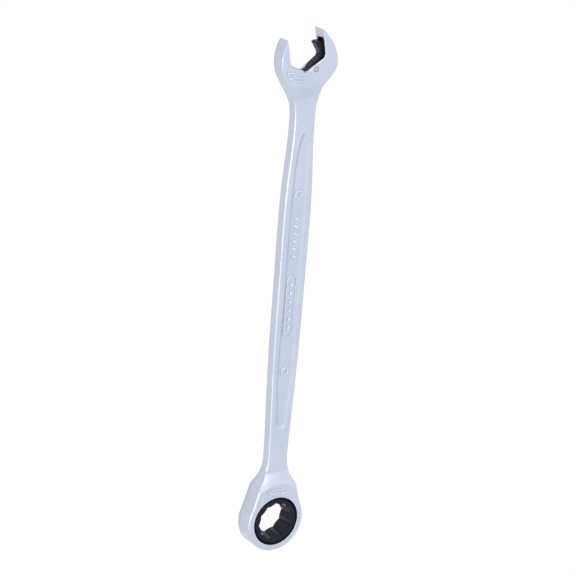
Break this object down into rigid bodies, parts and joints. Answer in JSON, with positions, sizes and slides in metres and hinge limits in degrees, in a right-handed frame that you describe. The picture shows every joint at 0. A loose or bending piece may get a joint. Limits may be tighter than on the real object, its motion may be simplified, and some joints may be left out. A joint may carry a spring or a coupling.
{
  "type": "ratcheting combination wrench",
  "caption": "Slim combination wrench with a ratcheting twelve-point ring at one end and an angled open end with a sprung black jaw insert at the other.",
  "frame": {"origin": "centre of the ring on the wrench's mid-plane", "axes": "+X along the handle to the open end, +Z out of the front face, which carries the drive arrows"},
  "size_m": [0.1398, 0.0169, 0.0056],
  "materials": {
    "satin_chrome": "satin chrome plating with a fine matte grain",
    "black_oxide": "black oxide, low sheen",
    "black_spring_steel": "black phosphated spring steel",
    "dark_pin": "ground pin end",
    "spring_steel": "drawn spring wire"
  },
  "bodies": {
    "body": {"wrench_body": "satin_chrome", "retaining_ring": "black_spring_steel", "jaw_pin": "dark_pin", "pawl_spring": "spring_steel", "jaw_insert_spring": "spring_steel"},
    "gear": {"ratchet_gear": "black_oxide"},
    "pawl": {"pawl": "black_oxide"},
    "insert": {"jaw_insert": "black_oxide"}
  },
  "joints": [
    {"name": "gear_spin", "type": "hinge", "parent": "body", "child": "gear", "pos_m": [0, 0, 0], "axis": [0, 0, 1], "continuous": true},
    {"name": "pawl_slide", "type": "slide", "parent": "body", "child": "pawl", "axis": [1, 0, 0], "range_m": [0, 0.00045], "stiffness_N_per_m": 300, "springref_m": -0.0015, "deforming": ["pawl_spring"]},
    {"name": "insert_swing", "type": "hinge", "parent": "body", "child": "insert", "pos_m": [0.12138, -0.00172, 0], "axis": [0, 0, 1], "range_deg": [-18, 0], "stiffness_Nm_per_rad": 0.01, "springref_deg": 17.19, "deforming": ["jaw_insert_spring"]}
  ]
}
